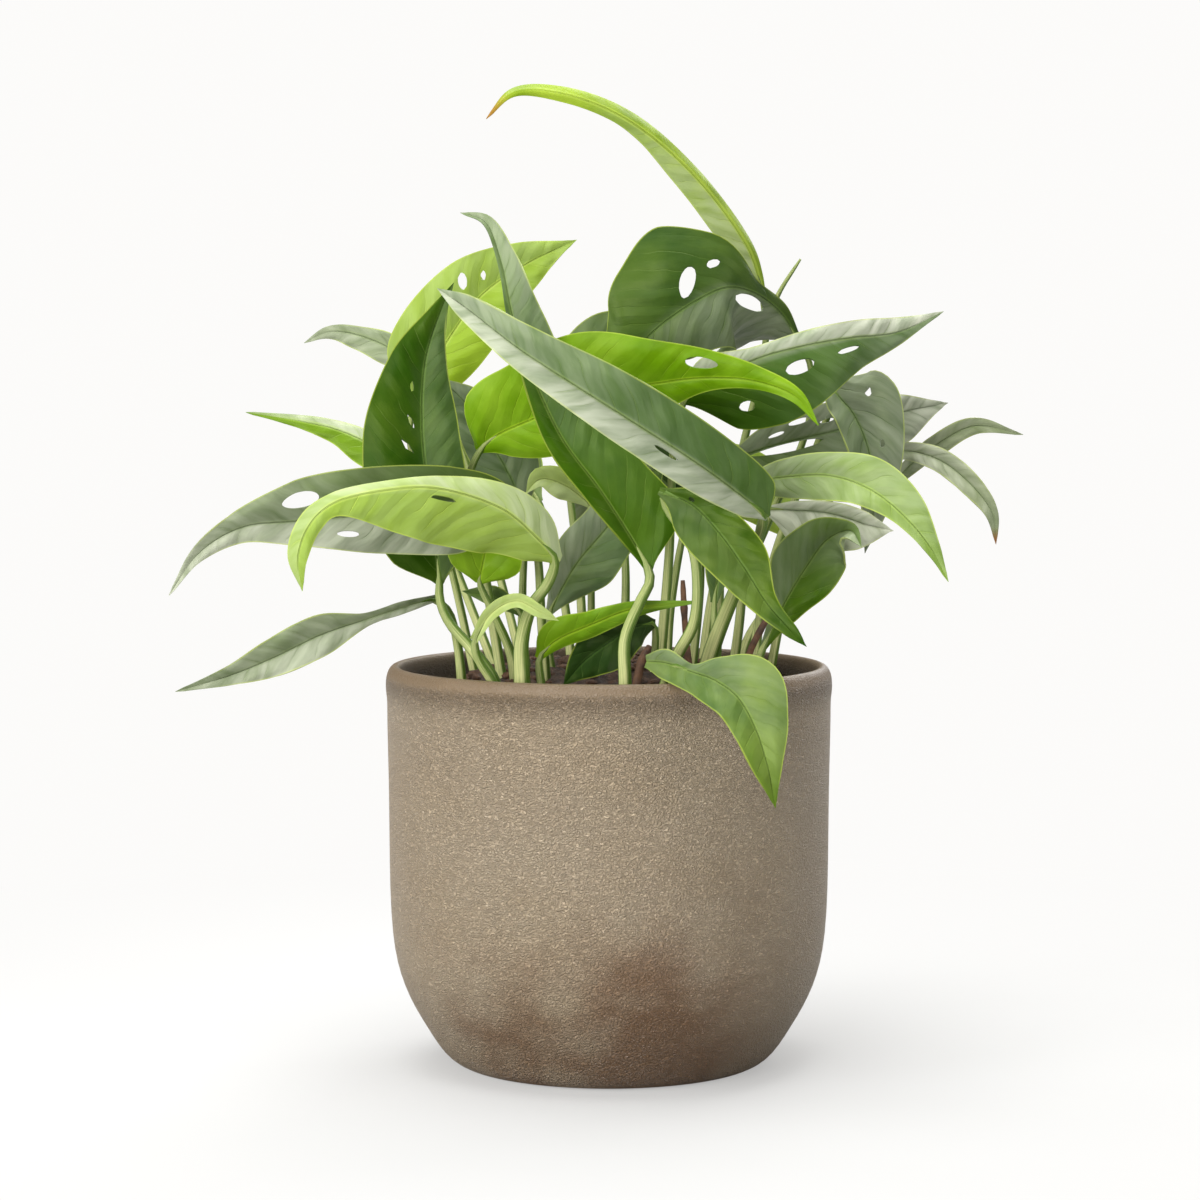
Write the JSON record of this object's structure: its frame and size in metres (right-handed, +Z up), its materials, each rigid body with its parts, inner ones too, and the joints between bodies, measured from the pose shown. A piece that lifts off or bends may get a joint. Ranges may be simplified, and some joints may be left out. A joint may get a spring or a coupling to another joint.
{
  "type": "potted trailing house plant",
  "caption": "Round stoneware pot with a soil mound and a bushy trailing house plant of long pointed leaves, some with small holes.",
  "frame": {"origin": "middle of the pot's flat base", "axes": "+Z up along the pot axis, -Y the front that the picture shows, +X to the right in the picture"},
  "size_m": [0.2828, 0.2044, 0.3284],
  "materials": {
    "leaf_grey": "silvery satin leaf",
    "leaf_lime": "satin young leaf",
    "leaf_dark": "glossy old leaf",
    "leaf_green": "satin leaf",
    "sheath_cream": "pale leaf sheath",
    "stem_brown": "dry stem",
    "soil": "crumbly potting soil with bark",
    "pot_stoneware": "matt wrinkled stoneware"
  },
  "bodies": {
    "root": {"long_grey_leaf": "leaf_grey", "crown_arch_leaf": "leaf_lime", "heart_dark_leaf": "leaf_dark", "lime_back_left_leaf": "leaf_lime", "dark_upright_leaf": "leaf_dark", "twisted_tall_leaf": "leaf_green", "left_long_leaf": "leaf_grey", "front_lime_leaf": "leaf_lime", "lime_centre_leaf": "leaf_lime", "right_upper_leaf": "leaf_green", "right_folded_leaf": "leaf_grey", "right_front_leaf": "leaf_lime", "right_droop_leaf": "leaf_grey", "right_far_leaf": "leaf_lime", "slotted_leaf": "leaf_dark", "grey_under_leaf": "leaf_grey", "low_folded_leaf": "leaf_green", "rim_leaf": "leaf_green", "low_dark_leaf": "leaf_dark", "low_lime_leaf": "leaf_lime", "centre_dark_leaf": "leaf_dark", "blue_behind_leaf": "leaf_dark", "glossy_front_leaf": "leaf_dark", "dull_behind_leaf": "leaf_green", "low_grey_leaf": "leaf_grey", "left_upper_leaf": "leaf_lime", "left_back_leaf": "leaf_grey", "dark_back_leaf": "leaf_dark", "small_pale_leaf": "leaf_grey", "lime_under_leaf": "leaf_lime", "sprout": "sheath_cream", "low_left_dark_leaf": "leaf_dark", "back_low_left_leaf": "leaf_green", "back_middle_leaf": "leaf_grey", "back_low_right_leaf": "leaf_lime", "back_upper_leaf": "leaf_dark", "thin_vine": "stem_brown", "brown_stub": "stem_brown", "dark_stem": "stem_brown", "soil": "soil", "pot": "pot_stoneware"}
  },
  "joints": []
}
